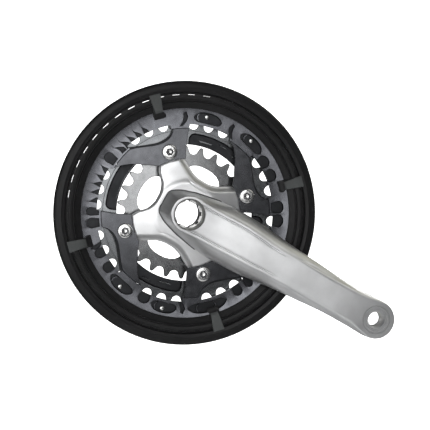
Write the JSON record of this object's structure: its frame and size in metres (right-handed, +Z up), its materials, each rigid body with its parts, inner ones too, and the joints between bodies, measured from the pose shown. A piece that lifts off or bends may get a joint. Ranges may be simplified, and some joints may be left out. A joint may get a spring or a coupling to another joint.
{
  "type": "bicycle crankset",
  "caption": "Right-hand bicycle crankset: crank arm with a forged spider, three stepped chainrings, dark carrier plates and a slim chain guard, turning as one on the spindle.",
  "frame": {"origin": "on the spindle axis, at the inboard face of the crank boss, where the boss seats on the bottom bracket spindle", "axes": "+Y inboard along the spindle axis towards the frame, -Y outboard towards the pedal side, +Z up, +X to the right when seen from the outboard side; the crank arm points 29 degrees below +X"},
  "size_m": [0.277, 0.0536, 0.2156],
  "materials": {
    "silver_arm": "satin silver paint over forged aluminium",
    "silver_spider": "satin silver paint over forged aluminium",
    "outer_ring_steel": "dark grey satin coating on pressed steel",
    "middle_ring_steel": "near-black satin coating on pressed steel",
    "inner_ring_steel": "slate grey satin coating on pressed steel",
    "carrier_plastic": "dark grey fibre-filled plastic, satin",
    "bright_steel": "bright zinc-plated steel",
    "guard_plastic": "black moulded plastic, satin",
    "clip_plastic": "dark grey moulded plastic, matt"
  },
  "bodies": {
    "root": {"crank_arm": "silver_arm", "spider": "silver_spider", "outer_chainring": "outer_ring_steel", "middle_chainring": "middle_ring_steel", "inner_chainring": "inner_ring_steel", "chain_guard": "guard_plastic", "carrier_plate_1": "carrier_plastic", "carrier_plate_2": "carrier_plastic", "carrier_plate_3": "carrier_plastic", "carrier_plate_4": "carrier_plastic", "chainring_bolt_1": "bright_steel", "chainring_bolt_2": "bright_steel", "chainring_bolt_3": "bright_steel", "chainring_bolt_4": "bright_steel", "chainring_nut_1": "bright_steel", "chainring_nut_2": "bright_steel", "chainring_nut_3": "bright_steel", "chainring_nut_4": "bright_steel", "inner_ring_bolt_1": "bright_steel", "inner_ring_bolt_2": "bright_steel", "inner_ring_bolt_3": "bright_steel", "inner_ring_bolt_4": "bright_steel", "guard_clip_1": "clip_plastic", "guard_clip_2": "clip_plastic", "guard_clip_3": "clip_plastic", "guard_clip_4": "clip_plastic", "chain_pin_1": "bright_steel", "chain_pin_2": "bright_steel", "chain_pin_3": "bright_steel", "chain_pin_4": "bright_steel"}
  },
  "joints": []
}
